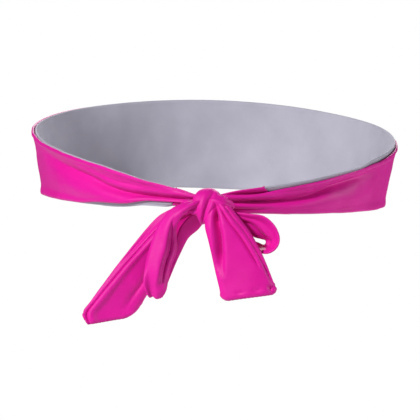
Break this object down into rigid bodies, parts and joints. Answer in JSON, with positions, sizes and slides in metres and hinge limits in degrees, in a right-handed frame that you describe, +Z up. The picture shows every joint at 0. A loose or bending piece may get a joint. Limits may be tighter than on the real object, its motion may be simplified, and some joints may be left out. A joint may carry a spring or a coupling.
{
  "type": "tie-back sports headband",
  "caption": "Lined stretch headband worn round the head, wide on the forehead and gathered to a knot at the back, tied in a bow with loops and hanging tails.",
  "frame": {"origin": "centre of the head opening, level with the middle of the band over the ears", "axes": "+Z up, +Y the wearer's forward, +X the wearer's right; the knot and bow are at the back, at -Y"},
  "size_m": [0.1596, 0.2097, 0.0978],
  "materials": {
    "magenta_jersey": "soft sheen stretch jersey, polyester and elastane",
    "grey_lining": "matt wicking jersey",
    "seam_thread": "overlocked and topstitched polyester thread over the cut edges"
  },
  "bodies": {
    "band": {"outer_shell": "magenta_jersey", "inner_lining": "grey_lining", "left_tie_facing": "magenta_jersey", "right_tie_facing": "magenta_jersey", "upper_edge_seam": "seam_thread", "lower_edge_seam": "seam_thread", "left_join_seam": "seam_thread", "right_join_seam": "seam_thread", "knot_wrap": "magenta_jersey", "half_knot_left_tie": "magenta_jersey", "half_knot_right_tie": "magenta_jersey"},
    "left_tail": {"left_tail_outer": "magenta_jersey", "left_tail_facing": "magenta_jersey", "left_tail_end_seam": "seam_thread"},
    "right_tail": {"right_tail_outer": "magenta_jersey", "right_tail_facing": "magenta_jersey", "right_tail_end_seam": "seam_thread"},
    "left_loop": {"left_loop_outer": "magenta_jersey", "left_loop_facing": "magenta_jersey"},
    "right_loop": {"right_loop_outer": "magenta_jersey", "right_loop_facing": "magenta_jersey"}
  },
  "joints": [
    {"name": "left_tail_swing", "type": "hinge", "parent": "band", "child": "left_tail", "pos_m": [-0.00755, -0.1006, -0.0247], "axis": [-1, 0, 0], "range_deg": [-40, 0]},
    {"name": "right_tail_swing", "type": "hinge", "parent": "band", "child": "right_tail", "pos_m": [0.0077, -0.1076, -0.0247], "axis": [-1, 0, 0], "range_deg": [0, 80]},
    {"name": "left_loop_swing", "type": "hinge", "parent": "band", "child": "left_loop", "pos_m": [-0.00755, -0.1055, -0.0247], "axis": [-1, 0, 0], "range_deg": [0, 75]},
    {"name": "right_loop_swing", "type": "hinge", "parent": "band", "child": "right_loop", "pos_m": [0.0077, -0.1028, -0.0211], "axis": [-1, 0, 0], "range_deg": [-35, 0]}
  ]
}
